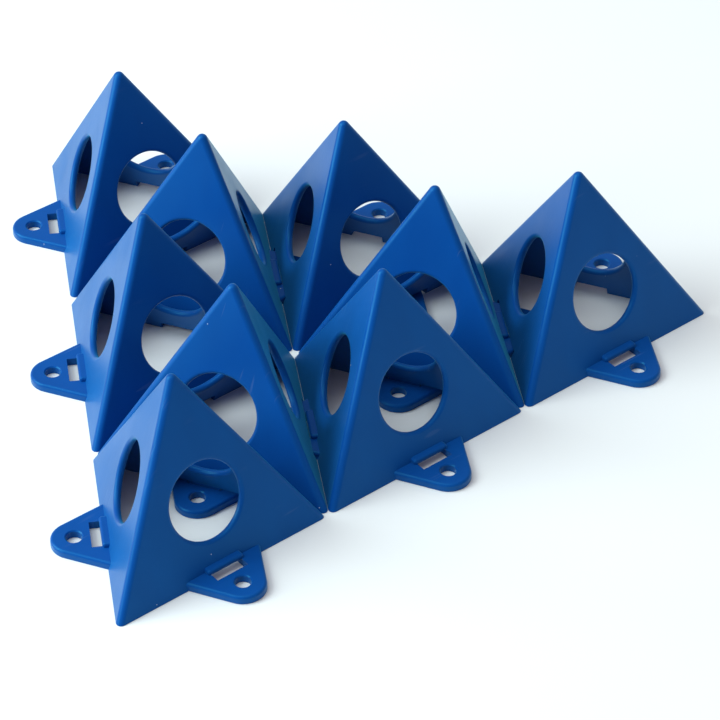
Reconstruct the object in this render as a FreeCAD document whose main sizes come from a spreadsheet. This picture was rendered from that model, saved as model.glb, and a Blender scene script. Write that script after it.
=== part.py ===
import FreeCAD, Part
import math
import os

import Sketcher

# Nine identical painter's pyramids, linked into one large triangle with three of these stands to a side.
#
# A stand is a hollow three-sided pyramid, open at the bottom. Each wall has one large round hole. Two of
# its three edges carry a flat tab with a screw hole, a slot and a bridge over the slot. The third edge is
# the socket: its foot is notched to pass over a neighbour's tab, and a tongue in the notch drops into
# the slot of that tab.
#
# Frame: +Z up, z = 0 is the surface the stands rest on, +X along the front row, and the origin is the
# centre of the threefold symmetry of the whole triangle. All sizes are in millimetres.

DIMENSIONS = {
    # pyramid
    "edge": 66.0,              # side of the foot, to the sharp corners
    "apex_height": 54.2,       # height at which the three outer faces would meet
    "wall": 2.0,               # thickness, square to the wall
    "ridge_round": 1.5,        # radius of the ridges and of the tip
    "inner_round": 0.6,        # radius of the same edges inside the hollow
    # round hole in each wall
    "window_radius": 10.5,
    "window_slant": 19.9,      # distance up the outer face from the foot to the hole's centre
    "window_lip": 0.95,        # radius of the rounded rim on both faces
    # tab
    "tab_thickness": 2.2,
    "tab_half_width": 11.15,   # half the width where the tab leaves the foot
    "tab_end_radius": 6.0,     # rounded end, concentric with the screw hole
    "tab_reach": 7.5,          # from the foot line to the screw hole's centre
    "tab_edge_round": 0.8,
    "screw_hole": 4.2,         # diameter
    "screw_bevel": 4.8,        # outer diameter of the bevel round the hole
    # slot and the bridge over its inner end
    "slot_length": 9.4,
    "slot_near": 0.8,          # from the foot line to the side of the slot nearer the wall
    "slot_far": 3.4,
    "bridge_length": 11.0,
    "bridge_height": 3.4,
    "bridge_round": 0.75,
    # linking
    "link_gap": 0.05,          # between the foot lines of two linked stands
    "tongue_play": 0.3,        # on each side of the tongue, and under it
    "notch_play": 0.3,         # above a tab and at each end of it
}

# The six places in the triangle that point the same way as the whole, and the three that point the
# other way. Each has its centre, in units of the pitch from the origin, and the turn of the stand in
# degrees. An unturned stand has its tabs towards -Y and +30 degrees and its socket towards 150 degrees.
ROW = math.sqrt(3) / 6
PLACES = {
    "front_left_corner_pyramid": (-1.0, -2 * ROW, 240),
    "right_corner_pyramid": (1.0, -2 * ROW, 0),
    "back_corner_pyramid": (0.0, 4 * ROW, 120),
    "left_side_pyramid": (-0.5, ROW, 120),
    "front_side_pyramid": (0.0, -2 * ROW, 240),
    "right_side_pyramid": (0.5, ROW, 0),
    "inner_left_pyramid": (-0.5, -ROW, 180),
    "inner_right_pyramid": (0.5, -ROW, 300),
    "inner_back_pyramid": (0.0, 2 * ROW, 60),
}

SIDES = 3
TURN = 360 / SIDES
SOCKET_TURN = 240          # from the tab towards -Y to the socket
BURIED = 1.5               # how far a tab or bridge runs into the foot of the wall
INSIDE = 6.0               # how far a cut through the foot runs into the hollow
CLEAR = 2.0                # how far a cutting shape runs past the solid
BEVEL_ANGLE = 90           # of the cone of the screw hole's bevel, in degrees
NEAR = 0.01                # how close two places are to count as the same


def make_sheet(doc):
    """The spreadsheet of driving dimensions, one aliased cell each."""
    sheet = doc.addObject("Spreadsheet::Sheet", "dims")
    for row, (alias, value) in enumerate(DIMENSIONS.items(), start=1):
        sheet.set(f"A{row}", alias.replace("_", " "))
        sheet.set(f"B{row}", str(value))
        sheet.setAlias(f"B{row}", alias)
    doc.recompute()
    return sheet


class Size:
    """A length worked out from the sheet: the expression that drives it, and its present value."""

    def __init__(self, text, value):
        self.text = text
        self.value = value

    def __add__(self, other):
        other = as_size(other)
        return Size(f"({self.text} + {other.text})", self.value + other.value)

    def __sub__(self, other):
        other = as_size(other)
        return Size(f"({self.text} - {other.text})", self.value - other.value)

    def __mul__(self, other):
        other = as_size(other)
        return Size(f"({self.text} * {other.text})", self.value * other.value)

    def __truediv__(self, other):
        other = as_size(other)
        return Size(f"({self.text} / {other.text})", self.value / other.value)

    def __neg__(self):
        return Size(f"(-{self.text})", -self.value)

    def root(self):
        return Size(f"sqrt({self.text})", math.sqrt(self.value))


def as_size(value):
    return value if isinstance(value, Size) else Size(f"{value:.9g}", float(value))


def cell(alias):
    """One driving dimension of the sheet."""
    return Size(f"dims.{alias}", DIMENSIONS[alias])


def drive(thing, name, size):
    """Sets a property and binds it to the sheet."""
    setattr(thing, name, size.value)
    thing.setExpression(name, size.text)


# Sizes that follow from the driving ones.
foot = cell("edge") / (2 * math.sqrt(3))              # from the centre to a foot line
lean = foot / cell("apex_height")                     # how far a wall leans in for each unit of height
slant = (lean * lean + 1).root()                      # length up a wall for each unit of height
pitch = cell("edge") + cell("link_gap") * math.sqrt(3)


def plane_of(body, role):
    return next(part for part in body.Origin.OriginFeatures if part.Role == role)


def add_sketch(body, name, role="XY_Plane", height=None, turn=0):
    """A sketch on one of the body's planes, raised by height and turned about the plane's normal."""
    sketch = body.newObject("Sketcher::SketchObject", name)
    sketch.AttachmentSupport = (plane_of(body, role), [""])
    sketch.MapMode = "FlatFace"
    sketch.AttachmentOffset = FreeCAD.Placement(
        FreeCAD.Vector(0, 0, height.value if height else 0),
        FreeCAD.Rotation(FreeCAD.Vector(0, 0, 1), turn),
    )
    if height:
        sketch.setExpression("AttachmentOffset.Base.z", height.text)
    return sketch


def set_distance(sketch, kind, geometry, point, size):
    """Holds one coordinate of a sketch point, on the axis or at a driven distance from the origin."""
    if size.value == 0:
        axis = -2 if kind == "DistanceX" else -1
        sketch.addConstraint(Sketcher.Constraint("PointOnObject", geometry, point, axis))
        return
    index = sketch.addConstraint(Sketcher.Constraint(kind, -1, 1, geometry, point, size.value))
    sketch.setExpression(f"Constraints[{index}]", size.text)


def set_point(sketch, geometry, point, x, y):
    set_distance(sketch, "DistanceX", geometry, point, x)
    set_distance(sketch, "DistanceY", geometry, point, y)


def set_radius(sketch, geometry, radius):
    index = sketch.addConstraint(Sketcher.Constraint("Radius", geometry, radius.value))
    sketch.setExpression(f"Constraints[{index}]", radius.text)


def add_line(sketch, start, end):
    return sketch.addGeometry(Part.LineSegment(FreeCAD.Vector(*start, 0), FreeCAD.Vector(*end, 0)), False)


def add_arc(sketch, centre, radius, start, end):
    """An arc drawn anticlockwise from the start point to the end point."""
    first = math.atan2(start[1] - centre[1], start[0] - centre[0])
    last = math.atan2(end[1] - centre[1], end[0] - centre[0])
    if last < first:
        last += 2 * math.pi
    circle = Part.Circle(FreeCAD.Vector(*centre, 0), FreeCAD.Vector(0, 0, 1), radius)
    return sketch.addGeometry(Part.ArcOfCircle(circle, first, last), False)


def join(sketch, kind, first, first_end, second, second_end):
    """Joins two pieces of an outline at their ends, with a corner or smoothly."""
    sketch.addConstraint(Sketcher.Constraint(kind, first, first_end, second, second_end))


START, END, CENTRE = 1, 2, 3


def polygon(sketch, corners):
    """A closed outline of straight lines through driven corners."""
    points = [(x.value, y.value) for x, y in corners]
    lines = [add_line(sketch, a, b) for a, b in zip(points, points[1:] + points[:1])]
    for line, following in zip(lines, lines[1:] + lines[:1]):
        join(sketch, "Coincident", line, END, following, START)
    for line, (x, y) in zip(lines, corners):
        set_point(sketch, line, START, x, y)


def rectangle(sketch, half_length, low, high):
    """A rectangle centred on the sketch's Y axis."""
    polygon(sketch, [(-half_length, low), (half_length, low), (half_length, high), (-half_length, high)])


def triangle(sketch, inradius):
    """An equilateral triangle about the origin with one side facing -Y."""
    half_side = inradius * math.sqrt(3)
    polygon(sketch, [(-half_side, -inradius), (half_side, -inradius), (as_size(0), inradius * 2)])


def tab_outline(sketch):
    """The flat tab: its sides taper from inside the wall to a round end about the screw hole."""
    half_width = cell("tab_half_width")
    radius = cell("tab_end_radius")
    reach = cell("tab_reach")
    foot_line = -foot
    root_line = foot_line + BURIED
    away = math.hypot(half_width.value, reach.value)
    heading = math.atan2(-reach.value, half_width.value) - math.asin(radius.value / away)
    run = math.sqrt(away**2 - radius.value**2)
    touch_x = -half_width.value + run * math.cos(heading)
    touch_y = foot_line.value + run * math.sin(heading)
    root_x = -half_width.value + BURIED / math.tan(heading)

    centre = (0, -(foot + reach).value)
    left_side = add_line(sketch, (root_x, root_line.value), (touch_x, touch_y))
    tip = add_arc(sketch, centre, radius.value, (touch_x, touch_y), (-touch_x, touch_y))
    right_side = add_line(sketch, (-touch_x, touch_y), (-root_x, root_line.value))
    root = add_line(sketch, (-root_x, root_line.value), (root_x, root_line.value))

    join(sketch, "Tangent", left_side, END, tip, START)
    join(sketch, "Tangent", tip, END, right_side, START)
    join(sketch, "Coincident", right_side, END, root, START)
    join(sketch, "Coincident", root, END, left_side, START)
    set_distance(sketch, "DistanceY", root, START, root_line)
    set_distance(sketch, "DistanceY", root, END, root_line)
    set_point(sketch, tip, CENTRE, as_size(0), -(foot + reach))
    set_radius(sketch, tip, radius)
    for side, x in ((left_side, -half_width), (right_side, half_width)):
        leaves = sketch.addGeometry(Part.Point(FreeCAD.Vector(x.value, foot_line.value, 0)), True)
        set_point(sketch, leaves, START, x, foot_line)
        sketch.addConstraint(Sketcher.Constraint("PointOnObject", leaves, START, side))


def window_profile(sketch):
    """Half the section of a wall's round hole, about the sketch's X axis, flared to a rounded rim."""
    radius = cell("window_radius")
    lip = cell("window_lip")
    wall = cell("wall")
    zero = as_size(0)
    clear = as_size(BURIED)
    rim = radius + lip
    straight = [
        ((-clear, zero), (-clear, rim)),
        ((-clear, rim), (zero, rim)),
        ((lip, radius), (wall - lip, radius)),
        ((wall, rim), (wall + clear, rim)),
        ((wall + clear, rim), (wall + clear, zero)),
        ((wall + clear, zero), (-clear, zero)),
    ]
    lines = []
    for (ax, ay), (bx, by) in straight:
        lines.append(add_line(sketch, (ax.value, ay.value), (bx.value, by.value)))
    outer = add_arc(sketch, (lip.value, rim.value), lip.value, (0, rim.value), (lip.value, radius.value))
    inner = add_arc(
        sketch,
        ((wall - lip).value, rim.value),
        lip.value,
        ((wall - lip).value, radius.value),
        (wall.value, rim.value),
    )
    join(sketch, "Coincident", lines[0], END, lines[1], START)
    join(sketch, "Coincident", lines[1], END, outer, START)
    join(sketch, "Coincident", outer, END, lines[2], START)
    join(sketch, "Coincident", lines[2], END, inner, START)
    join(sketch, "Coincident", inner, END, lines[3], START)
    join(sketch, "Coincident", lines[3], END, lines[4], START)
    join(sketch, "Coincident", lines[4], END, lines[5], START)
    join(sketch, "Coincident", lines[5], END, lines[0], START)
    for line, (start, _) in zip(lines, straight):
        set_point(sketch, line, START, *start)
    set_point(sketch, outer, CENTRE, lip, rim)
    set_point(sketch, inner, CENTRE, wall - lip, rim)
    set_distance(sketch, "DistanceY", lines[1], END, rim)
    set_distance(sketch, "DistanceX", lines[2], END, wall - lip)


def pad(body, name, sketch, length):
    feature = body.newObject("PartDesign::Pad", name)
    feature.Profile = sketch
    drive(feature, "Length", length)
    return feature


def pocket_up(body, name, sketch, depth):
    """A pocket cut upwards from its sketch."""
    feature = body.newObject("PartDesign::Pocket", name)
    feature.Profile = sketch
    feature.Reversed = True
    drive(feature, "Length", depth)
    return feature


def repeat_about_axis(body, name, features, count, angle):
    """Repeats features about the vertical axis and makes the result the tip of the body."""
    pattern = body.newObject("PartDesign::PolarPattern", name)
    pattern.Originals = features
    pattern.Axis = (plane_of(body, "Z_Axis"), [""])
    pattern.Angle = angle
    pattern.Occurrences = count
    body.Tip = pattern


def fillet_edges(body, name, radius, wanted):
    """Rounds the edges of the body's present shape that pass the test."""
    base = body.Tip
    names = [f"Edge{index}" for index, edge in enumerate(base.Shape.Edges, start=1) if wanted(edge)]
    fillet = body.newObject("PartDesign::Fillet", name)
    fillet.Base = (base, names)
    drive(fillet, "Radius", radius)
    body.Tip = fillet


def face_names(shape, wanted):
    return [f"Face{index}" for index, face in enumerate(shape.Faces, start=1) if wanted(face)]


def is_ridge(edge, inradius):
    """A sloping edge whose lower end is a corner of the foot triangle with that inradius."""
    low = min(edge.Vertexes, key=lambda vertex: vertex.Z)
    high = max(edge.Vertexes, key=lambda vertex: vertex.Z)
    at_corner = abs(math.hypot(low.X, low.Y) - 2 * inradius) < NEAR
    return at_corner and high.Z - low.Z > DIMENSIONS["apex_height"] / 2


def is_inner_ridge(edge):
    hollow_foot = foot - cell("wall") * slant
    return is_ridge(edge, hollow_foot.value)


def middle_of(edge):
    return edge.valueAt((edge.FirstParameter + edge.LastParameter) / 2)


def is_flat_at(shape, height):
    box = shape.BoundBox
    return abs(box.ZMin - height) < NEAR and abs(box.ZMax - height) < NEAR


def beyond_foot(point, turn):
    """How far a point lies outside the foot line of the side that is turned from -Y."""
    angle = math.radians(turn - 90)
    return point.x * math.cos(angle) + point.y * math.sin(angle) - foot.value


def along_foot(point, turn):
    """How far a point lies from the middle of that side, along it."""
    angle = math.radians(turn)
    return point.x * math.cos(angle) + point.y * math.sin(angle)


def is_tab_rim(edge):
    """The upper outline of either tab: its two tapered sides and its round end."""
    if not is_flat_at(edge, DIMENSIONS["tab_thickness"]):
        return False
    point = middle_of(edge)
    for turn in (0, TURN):
        out = beyond_foot(point, turn)
        past_screw = out > DIMENSIONS["tab_reach"] + DIMENSIONS["screw_bevel"] / 2 + NEAR
        past_bridge = abs(along_foot(point, turn)) > DIMENSIONS["bridge_length"] / 2 + NEAR
        if past_screw or (out > NEAR and past_bridge):
            return True
    return False


def is_bridge_rim(edge):
    """A free edge of either bridge: round its top, or up one of its front corners."""
    point = middle_of(edge)
    box = edge.BoundBox
    at_top = is_flat_at(edge, DIMENSIONS["bridge_height"])
    upright = box.ZLength > NEAR and box.XLength < NEAR and box.YLength < NEAR
    for turn in (0, TURN):
        at_front = abs(beyond_foot(point, turn) - DIMENSIONS["slot_near"]) < NEAR
        at_end = abs(abs(along_foot(point, turn)) - DIMENSIONS["bridge_length"] / 2) < NEAR
        if (at_top and (at_front or at_end)) or (upright and at_front and at_end):
            return True
    return False


def shape_pyramid(doc, body):
    """A triangular block, cut down to three leaning faces that meet in a point."""
    height = cell("apex_height")
    foot_outline = add_sketch(body, "foot_outline")
    triangle(foot_outline, foot)
    pad(body, "block", foot_outline, height + CLEAR)
    outside_wall = add_sketch(body, "outside_wall", role="YZ_Plane")
    polygon(
        outside_wall,
        [
            (-foot, as_size(0)),
            (lean * CLEAR, height + CLEAR),
            (lean * CLEAR, height + CLEAR * 2),
            (-foot - CLEAR, height + CLEAR * 2),
            (-foot - CLEAR, as_size(0)),
        ],
    )
    slope = body.newObject("PartDesign::Pocket", "slope")
    slope.Profile = outside_wall
    slope.Midplane = True
    drive(slope, "Length", cell("edge") * 2)
    repeat_about_axis(body, "slopes", [slope], SIDES, 360)
    doc.recompute()


def hollow_out(doc, body):
    """Hollows the pyramid from below to an even wall, and rounds its ridges and tip."""
    solid = body.Tip
    hollow = body.newObject("PartDesign::Thickness", "hollow")
    hollow.Base = (solid, face_names(solid.Shape, lambda face: is_flat_at(face, 0)))
    hollow.Join = "Intersection"
    hollow.Reversed = True
    drive(hollow, "Value", cell("wall"))
    doc.recompute()
    fillet_edges(body, "outer_ridges", cell("ridge_round"), lambda edge: is_ridge(edge, foot.value))
    doc.recompute()
    fillet_edges(body, "inner_ridges", cell("inner_round"), is_inner_ridge)
    doc.recompute()


def cut_windows(doc, body):
    """The round hole in the middle of each wall, square to it."""
    window_sketch = add_sketch(body, "window_profile", role="YZ_Plane")
    window_profile(window_sketch)
    up = cell("window_slant") / slant
    window_sketch.AttachmentOffset = FreeCAD.Placement(
        FreeCAD.Vector((up * lean - foot).value, up.value, 0),
        FreeCAD.Rotation(FreeCAD.Vector(0, 0, 1), -math.degrees(math.atan(lean.value))),
    )
    window_sketch.setExpression("AttachmentOffset.Base.x", (up * lean - foot).text)
    window_sketch.setExpression("AttachmentOffset.Base.y", up.text)
    window_sketch.setExpression("AttachmentOffset.Rotation.Angle", f"-atan({lean.text})")
    window = body.newObject("PartDesign::Groove", "window")
    window.Profile = window_sketch
    window.ReferenceAxis = (window_sketch, ["H_Axis"])
    window.Angle = 360
    doc.recompute()
    repeat_about_axis(body, "windows", [window], SIDES, 360)


def add_tabs(doc, body):
    """Two tabs, each with a bridge, a slot and a screw hole."""
    tab_sketch = add_sketch(body, "tab_outline")
    tab_outline(tab_sketch)
    tab = pad(body, "tab", tab_sketch, cell("tab_thickness"))
    bridge_sketch = add_sketch(body, "bridge_outline")
    rectangle(bridge_sketch, cell("bridge_length") / 2, -(foot + cell("slot_near")), -(foot - BURIED))
    bridge = pad(body, "bridge", bridge_sketch, cell("bridge_height"))
    slot_sketch = add_sketch(body, "slot_outline")
    rectangle(slot_sketch, cell("slot_length") / 2, -(foot + cell("slot_far")), -(foot - INSIDE))
    slot = pocket_up(body, "slot", slot_sketch, cell("tab_thickness"))
    doc.recompute()
    screw_sketch = add_sketch(body, "screw_place", height=cell("tab_thickness"))
    circle = Part.Circle(
        FreeCAD.Vector(0, -(foot + cell("tab_reach")).value, 0),
        FreeCAD.Vector(0, 0, 1),
        DIMENSIONS["screw_hole"] / 2,
    )
    index = screw_sketch.addGeometry(circle, False)
    set_point(screw_sketch, index, CENTRE, as_size(0), -(foot + cell("tab_reach")))
    set_radius(screw_sketch, index, cell("screw_hole") / 2)
    doc.recompute()
    screw_hole = body.newObject("PartDesign::Hole", "screw_hole")
    screw_hole.Profile = screw_sketch
    screw_hole.DepthType = "ThroughAll"
    screw_hole.HoleCutType = "Countersink"
    screw_hole.HoleCutCountersinkAngle = BEVEL_ANGLE
    drive(screw_hole, "Diameter", cell("screw_hole"))
    drive(screw_hole, "HoleCutDiameter", cell("screw_bevel"))
    doc.recompute()
    repeat_about_axis(body, "tabs", [tab, bridge, slot, screw_hole], 2, TURN)
    doc.recompute()


def add_socket(doc, body):
    """A notch that passes over the neighbour's tab, and a tongue down into that tab's slot."""
    notch_sketch = add_sketch(body, "notch_outline", turn=SOCKET_TURN)
    half_notch = cell("tab_half_width") + cell("notch_play")
    rectangle(notch_sketch, half_notch, -(foot + BURIED), -(foot - INSIDE))
    pocket_up(body, "notch", notch_sketch, cell("tab_thickness") + cell("notch_play"))
    tongue_sketch = add_sketch(body, "tongue_outline", height=cell("tongue_play"), turn=SOCKET_TURN)
    tongue_out = cell("link_gap") - cell("slot_near") - cell("tongue_play")
    tongue_in = cell("link_gap") - cell("slot_far") + cell("tongue_play")
    half_tongue = cell("slot_length") / 2 - cell("tongue_play")
    rectangle(tongue_sketch, half_tongue, -(foot + tongue_out), -(foot + tongue_in))
    pad(body, "tongue", tongue_sketch, cell("tab_thickness") + cell("notch_play"))
    doc.recompute()


def build_stand(doc, label):
    """One stand, as a body in its own frame with its foot centred on the origin."""
    body = doc.addObject("PartDesign::Body", label)
    body.Label = label
    shape_pyramid(doc, body)
    hollow_out(doc, body)
    cut_windows(doc, body)
    add_tabs(doc, body)
    add_socket(doc, body)
    fillet_edges(body, "tab_fillet", cell("tab_edge_round"), is_tab_rim)
    doc.recompute()
    fillet_edges(body, "bridge_fillet", cell("bridge_round"), is_bridge_rim)
    doc.recompute()
    return body


def place(body, across, along, turn):
    """Puts a stand in its place in the triangle."""
    body.Placement = FreeCAD.Placement(
        FreeCAD.Vector(pitch.value * across, pitch.value * along, 0),
        FreeCAD.Rotation(FreeCAD.Vector(0, 0, 1), turn),
    )
    body.setExpression("Placement.Base.x", (pitch * across).text)
    body.setExpression("Placement.Base.y", (pitch * along).text)


def check(doc, stands):
    """Stops if any object has failed or any stand isn't one valid solid."""
    for thing in doc.Objects:
        if "Invalid" in thing.State or "Error" in thing.State:
            raise RuntimeError(f"{thing.Label} failed: {thing.State}")
    for stand in stands:
        shape = stand.Shape
        if shape.isNull() or not shape.isValid() or len(shape.Solids) != 1:
            raise RuntimeError(f"{stand.Label} isn't one valid solid")


def main():
    doc = FreeCAD.newDocument("linked_stands")
    make_sheet(doc)
    stands = []
    for label, (across, along, turn) in PLACES.items():
        stand = build_stand(doc, label)
        place(stand, across, along, turn)
        stands.append(stand)
    doc.recompute()
    check(doc, stands)
    os.makedirs("parts", exist_ok=True)
    for stand in stands:
        stand.Shape.exportStep(f"parts/{stand.Label}.step")
        print(stand.Label, round(stand.Shape.Volume, 1), len(stand.Shape.Faces), "faces")


main()
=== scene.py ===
import math

import bpy
from mathutils import Matrix, Vector


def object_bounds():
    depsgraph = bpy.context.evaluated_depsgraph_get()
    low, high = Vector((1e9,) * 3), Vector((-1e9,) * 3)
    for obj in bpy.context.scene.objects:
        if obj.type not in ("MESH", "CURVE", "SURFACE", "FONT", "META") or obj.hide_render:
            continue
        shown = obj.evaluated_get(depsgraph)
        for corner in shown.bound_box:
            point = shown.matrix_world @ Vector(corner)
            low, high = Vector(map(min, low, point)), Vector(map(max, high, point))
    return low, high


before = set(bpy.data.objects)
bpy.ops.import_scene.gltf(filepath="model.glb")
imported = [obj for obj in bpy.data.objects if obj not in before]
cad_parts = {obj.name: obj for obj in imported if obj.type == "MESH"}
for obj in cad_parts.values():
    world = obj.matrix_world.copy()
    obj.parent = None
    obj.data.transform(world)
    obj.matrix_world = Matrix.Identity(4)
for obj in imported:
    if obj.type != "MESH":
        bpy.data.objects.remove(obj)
CAD_LOW, CAD_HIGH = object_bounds()

# Nine linked painter's pyramids in blue moulded plastic, on a pale floor. Metres and degrees throughout.

# The camera: a long lens that looks down at the triangle from its front left.
CAMERA_AZIMUTH = -38.53        # 0 looks along +Y
CAMERA_ELEVATION = 39.07
CAMERA_ROLL = -0.43
CAMERA_DISTANCE = 0.831
CAMERA_LENS_MM = 162.2
SENSOR_MM = 36.0
NEAREST_SEEN = 0.01
FARTHEST_SEEN = 20.0
CAMERA_AIM = (-0.0070, -0.0375, 0.025)

# Light: a low soft key from the left and a little behind, and a weaker one overhead.
KEY_AZIMUTH = 150.0            # anticlockwise from +X
KEY_ELEVATION = 34.0
KEY_POWER = 24.6
OVERHEAD_ELEVATION = 78.0
OVERHEAD_POWER = 6.8
LIGHT_DISTANCE = 1.3
LIGHT_SIZE = 1.0
LIGHT_COLOUR = (0.85, 1.0, 1.0)
WORLD_COLOUR = (1.0, 0.93, 0.98)
WORLD_STRENGTH = 0.37

FLOOR_RADIUS = 3.0
FLOOR_PATCHES = 9.0            # in a metre
FLOOR_SIDES = 96
FLOOR_DROP = 0.0001            # below the stands' feet, so that the two surfaces don't coincide
FLOOR_COLOUR = (0.86, 0.86, 0.87)
FLOOR_SHADE = 0.985            # the darker patches' share of the floor's colour
FLOOR_ROUGHNESS = 0.85
FLOOR_GLOSS = 0.2

# The plastic's colours: two close blues that the flow marks and clouds mix, and dust on top.
BLUE = (0.002, 0.059, 0.292)
BLUE_DEEP = (0.002, 0.052, 0.268)
DUST = (0.62, 0.74, 0.84)
FLOW_SHARE = 0.55              # the rest of the tone comes from the clouds
SCUFF_TINT = 0.03              # how far a scuff goes towards the dust's colour

# The plastic's gloss: its roughness where it is clean and where it is smudged, and what adds to that.
CLEAN_ROUGHNESS = 0.29
SMUDGED_ROUGHNESS = 0.37
GRAIN_ROUGHNESS = 0.05
SPECK_ROUGHNESS = 0.35
GLOSS_TINT = (0.15, 0.95, 1.0)
REFRACTIVE_INDEX = 1.35
SHEEN_WEIGHT = 0.28
SHEEN_ROUGHNESS = 0.45
SHEEN_TINT = (0.08, 0.72, 1.0)

# Sizes of the surface detail, each the number of features in a metre.
CLOUDS = 38.0
SCUFF_PATCHES = 55.0
SMUDGES = 62.0
RIPPLE = 95.0
SPECKS = 210.0
MOTTLE = 620.0
GRAIN = 1900.0
FLOW_MARKS = (120.0, 120.0, 26.0)        # long marks that run up the walls
SCUFF_MARKS = (60.0, 1500.0, 90.0)       # fine across, and short along
SCUFF_TURN = (0.5, 0.9, 0.35)            # radians

# The strength and the height of each relief.
RIPPLE_RELIEF = (0.25, 0.00018)
MOTTLE_RELIEF = (0.35, 0.00004)
GRAIN_RELIEF = (0.3, 0.000015)
SPECK_RELIEF = (0.4, 0.00008)
SCUFF_DEPTH = 0.5              # as a share of a speck's height

# Where each pattern starts and where it is full, in the values of its own noise.
TONE_SPAN = (0.36, 0.64)
SMUDGE_SPAN = (0.35, 0.7)
SCUFF_SPAN = (0.66, 0.72)
SCUFF_PATCH_SPAN = (0.52, 0.66)
FLOOR_SHADE_SPAN = (0.3, 0.7)
SPECK_EDGE = (0.018, 0.034)    # from a speck's full middle to its rim, in cells
BARE_SHARE = 0.45              # the share of cells that have no speck


def direction(azimuth, elevation):
    """The unit vector towards an azimuth, anticlockwise from +X, and an elevation."""
    across, up = math.radians(azimuth), math.radians(elevation)
    return Vector((math.cos(across) * math.cos(up), math.sin(across) * math.cos(up), math.sin(up)))


class Surface:
    """A material's node tree, with short ways to add and join nodes."""

    def __init__(self, name):
        self.material = bpy.data.materials.new(name)
        self.material.use_nodes = True
        self.tree = self.material.node_tree
        self.shader = self.tree.nodes["Principled BSDF"]
        self.place = self.add("ShaderNodeTexCoord").outputs["Object"]

    def add(self, kind, settings=None, **values):
        """A node with its settings, and its sockets set to numbers or joined to other nodes' outputs."""
        node = self.tree.nodes.new(kind)
        for name, value in (settings or {}).items():
            setattr(node, name, value)
        for name, value in values.items():
            self.feed(node.inputs[name.replace("_", " ")], value)
        return node

    def feed(self, socket, value):
        if isinstance(value, bpy.types.NodeSocket):
            self.tree.links.new(value, socket)
        else:
            socket.default_value = value

    def stretched(self, scale):
        """The object's coordinates, scaled differently along each axis."""
        mapping = self.add("ShaderNodeMapping", Vector=self.place, Scale=scale)
        return mapping.outputs["Vector"]

    def noise(self, scale, detail=2.0, roughness=0.5, place=None):
        """Soft random values about 0.5, with features 1/scale of a metre wide."""
        node = self.add(
            "ShaderNodeTexNoise",
            Vector=place or self.place,
            Scale=scale,
            Detail=detail,
            Roughness=roughness,
        )
        return node.outputs["Fac"]

    def ramp(self, value, low, high, to_low=0.0, to_high=1.0):
        """A value carried smoothly from one range to another, and held at its ends."""
        node = self.add(
            "ShaderNodeMapRange",
            {"interpolation_type": "SMOOTHSTEP"},
            Value=value,
            From_Min=low,
            From_Max=high,
            To_Min=to_low,
            To_Max=to_high,
        )
        return node.outputs["Result"]

    def math(self, operation, first, second=0.0):
        node = self.add("ShaderNodeMath", {"operation": operation})
        self.feed(node.inputs[0], first)
        self.feed(node.inputs[1], second)
        return node.outputs["Value"]

    def mix(self, share, first, second):
        """Two colours mixed by a share."""
        node = self.add("ShaderNodeMix", {"data_type": "RGBA"})
        self.feed(node.inputs["Factor"], share)
        for name, colour in (("A", first), ("B", second)):
            socket = next(s for s in node.inputs if s.name == name and s.type == "RGBA")
            self.feed(socket, colour if isinstance(colour, bpy.types.NodeSocket) else (*colour, 1.0))
        return next(s for s in node.outputs if s.type == "RGBA")

    def bump(self, height, strength, depth, normal=None):
        node = self.add("ShaderNodeBump", Height=height, Strength=strength, Distance=depth)
        if normal:
            self.feed(node.inputs["Normal"], normal)
        return node.outputs["Normal"]


def dust_specks(surface):
    """A mask of the few tiny light specks that lie on each wall."""
    cells = surface.add("ShaderNodeTexVoronoi", Vector=surface.place, Scale=SPECKS)
    near = surface.ramp(cells.outputs["Distance"], *SPECK_EDGE, 1.0, 0.0)
    chance = surface.add("ShaderNodeSeparateColor", Color=cells.outputs["Color"])
    chosen = surface.math("GREATER_THAN", chance.outputs["Red"], BARE_SHARE)
    return surface.math("MULTIPLY", near, chosen)


def scuffs(surface):
    """A mask of faint, short, straight marks from handling."""
    along = surface.add("ShaderNodeMapping", Vector=surface.place, Scale=SCUFF_MARKS)
    along.inputs["Rotation"].default_value = SCUFF_TURN
    streaks = surface.ramp(surface.noise(1.0, detail=1.0, place=along.outputs["Vector"]), *SCUFF_SPAN)
    patches = surface.ramp(surface.noise(SCUFF_PATCHES), *SCUFF_PATCH_SPAN)
    return surface.math("MULTIPLY", streaks, patches)


def plastic_colour(surface, specks, marks):
    """Two close blues mixed by flow marks and clouds, with scuffs and dust on top."""
    flow = surface.noise(1.0, detail=3.0, place=surface.stretched(FLOW_MARKS))
    flow_part = surface.math("MULTIPLY", flow, FLOW_SHARE)
    cloud_part = surface.math("MULTIPLY", surface.noise(CLOUDS), 1.0 - FLOW_SHARE)
    tone = surface.math("ADD", flow_part, cloud_part)
    body = surface.mix(surface.ramp(tone, *TONE_SPAN), BLUE_DEEP, BLUE)
    scuffed = surface.mix(surface.math("MULTIPLY", marks, SCUFF_TINT), body, DUST)
    return surface.mix(specks, scuffed, DUST)


def plastic_roughness(surface, specks, grain):
    """Uneven gloss: smudges and grain over the whole wall, and dull specks."""
    smudges = surface.noise(SMUDGES, detail=4.0)
    gloss = surface.ramp(smudges, *SMUDGE_SPAN, CLEAN_ROUGHNESS, SMUDGED_ROUGHNESS)
    grained = surface.math("ADD", gloss, surface.math("MULTIPLY", grain, GRAIN_ROUGHNESS))
    return surface.math("ADD", grained, surface.math("MULTIPLY", specks, SPECK_ROUGHNESS))


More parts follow.
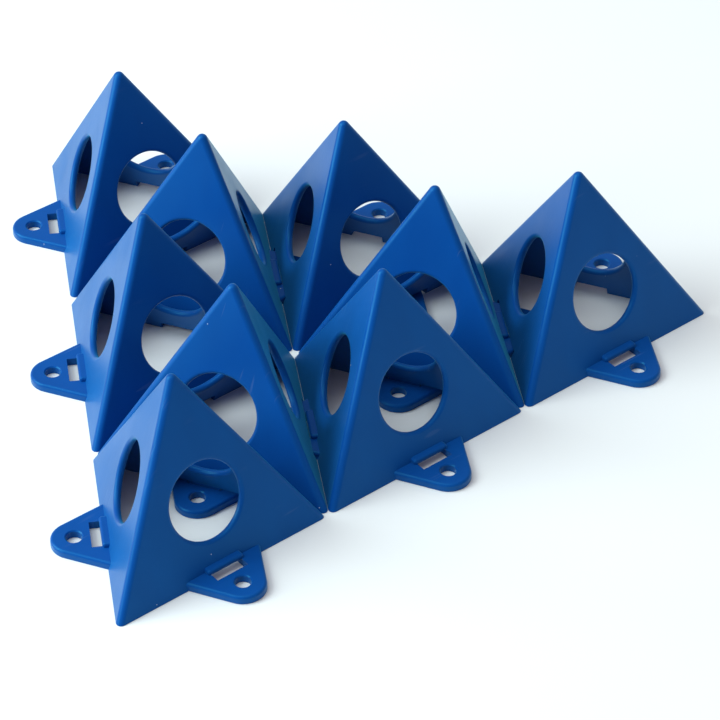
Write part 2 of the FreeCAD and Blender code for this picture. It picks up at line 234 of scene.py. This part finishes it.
def plastic_relief(surface, specks, marks, grain):
    """From broad to fine: ripple, mottle and grain, then specks that stand up and scuffs that sink in."""
    ripple = surface.bump(surface.noise(RIPPLE, detail=1.0), *RIPPLE_RELIEF)
    mottle = surface.bump(surface.noise(MOTTLE), *MOTTLE_RELIEF, ripple)
    fine = surface.bump(grain, *GRAIN_RELIEF, mottle)
    raised = surface.math("SUBTRACT", specks, surface.math("MULTIPLY", marks, SCUFF_DEPTH))
    return surface.bump(raised, *SPECK_RELIEF, fine)


def blue_plastic():
    """Semi-gloss moulded polypropylene."""
    surface = Surface("blue_plastic")
    inputs = surface.shader.inputs
    specks = dust_specks(surface)
    marks = scuffs(surface)
    grain = surface.noise(GRAIN)
    surface.feed(inputs["Base Color"], plastic_colour(surface, specks, marks))
    surface.feed(inputs["Roughness"], plastic_roughness(surface, specks, grain))
    surface.feed(inputs["Normal"], plastic_relief(surface, specks, marks, grain))
    inputs["IOR"].default_value = REFRACTIVE_INDEX
    inputs["Specular Tint"].default_value = (*GLOSS_TINT, 1.0)
    inputs["Sheen Weight"].default_value = SHEEN_WEIGHT
    inputs["Sheen Roughness"].default_value = SHEEN_ROUGHNESS
    inputs["Sheen Tint"].default_value = (*SHEEN_TINT, 1.0)
    return surface.material


def pale_floor():
    """A plain matt white board with the faintest unevenness."""
    surface = Surface("pale_floor")
    shade = surface.ramp(surface.noise(FLOOR_PATCHES, detail=3.0), *FLOOR_SHADE_SPAN)
    slightly_darker = tuple(part * FLOOR_SHADE for part in FLOOR_COLOUR)
    surface.feed(surface.shader.inputs["Base Color"], surface.mix(shade, slightly_darker, FLOOR_COLOUR))
    surface.shader.inputs["Roughness"].default_value = FLOOR_ROUGHNESS
    surface.shader.inputs["Specular IOR Level"].default_value = FLOOR_GLOSS
    return surface.material


def dress_stands():
    plastic = blue_plastic()
    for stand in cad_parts.values():
        stand.data.materials.clear()
        stand.data.materials.append(plastic)


def make_floor():
    bpy.ops.mesh.primitive_circle_add(vertices=FLOOR_SIDES, radius=FLOOR_RADIUS, fill_type="NGON")
    floor = bpy.context.object
    floor.name = "floor"
    floor.location = (0.0, 0.0, CAD_LOW.z - FLOOR_DROP)
    floor.data.materials.append(pale_floor())


def make_light(name, elevation, power):
    """A square soft light that faces the middle of the triangle."""
    light = bpy.data.lights.new(name, "AREA")
    light.shape = "SQUARE"
    light.size = LIGHT_SIZE
    light.energy = power
    light.color = LIGHT_COLOUR
    towards = direction(KEY_AZIMUTH, elevation)
    lamp = bpy.data.objects.new(name, light)
    lamp.location = towards * LIGHT_DISTANCE
    lamp.rotation_mode = "QUATERNION"
    lamp.rotation_quaternion = towards.to_track_quat("Z", "Y")
    bpy.context.scene.collection.objects.link(lamp)


def make_world():
    world = bpy.data.worlds.new("studio")
    world.use_nodes = True
    background = world.node_tree.nodes["Background"]
    background.inputs["Color"].default_value = (*WORLD_COLOUR, 1.0)
    background.inputs["Strength"].default_value = WORLD_STRENGTH
    bpy.context.scene.world = world


def place_camera():
    lens = bpy.data.cameras.new("camera")
    lens.lens = CAMERA_LENS_MM
    lens.sensor_width = SENSOR_MM
    lens.clip_start = NEAREST_SEEN
    lens.clip_end = FARTHEST_SEEN
    back = direction(CAMERA_AZIMUTH - 90.0, CAMERA_ELEVATION)
    camera = bpy.data.objects.new("camera", lens)
    facing = back.to_track_quat("Z", "Y").to_matrix().to_4x4()
    roll = Matrix.Rotation(math.radians(CAMERA_ROLL), 4, "Z")
    camera.matrix_world = Matrix.Translation(Vector(CAMERA_AIM) + back * CAMERA_DISTANCE) @ facing @ roll
    bpy.context.scene.collection.objects.link(camera)
    bpy.context.scene.camera = camera


place_camera()
make_world()
make_light("key", KEY_ELEVATION, KEY_POWER)
make_light("overhead", OVERHEAD_ELEVATION, OVERHEAD_POWER)
make_floor()
dress_stands()
bpy.context.scene.view_settings.view_transform = "Standard"
